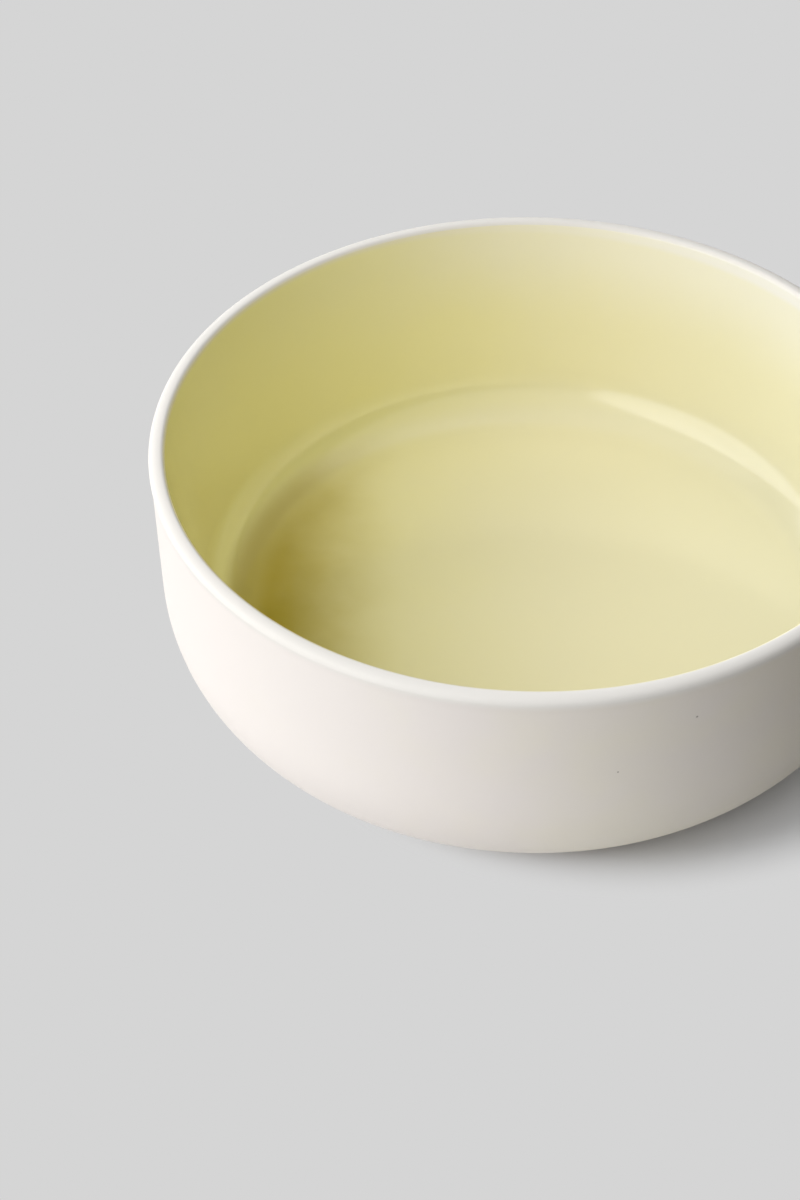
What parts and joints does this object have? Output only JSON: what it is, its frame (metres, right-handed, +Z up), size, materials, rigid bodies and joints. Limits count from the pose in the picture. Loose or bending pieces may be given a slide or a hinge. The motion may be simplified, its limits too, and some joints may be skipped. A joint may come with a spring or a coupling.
{
  "type": "latte bowl",
  "caption": "Low round stoneware bowl with a rolled lip, satin white glaze outside, glossy pale yellow glaze inside and a bare foot ring to stand on.",
  "frame": {"origin": "on the bowl's axis, on the table plane under the foot ring", "axes": "+Z up along the bowl's axis; X and Y are equivalent because the bowl is round"},
  "size_m": [0.14, 0.14, 0.052],
  "materials": {
    "stoneware": "bare fired clay",
    "white_glaze": "satin off-white glaze",
    "yellow_glaze": "gloss pale yellow glaze"
  },
  "bodies": {
    "root": {"clay_body": "stoneware", "outer_glaze": "white_glaze", "inner_glaze": "yellow_glaze", "foot_well_glaze": "white_glaze"}
  },
  "joints": []
}
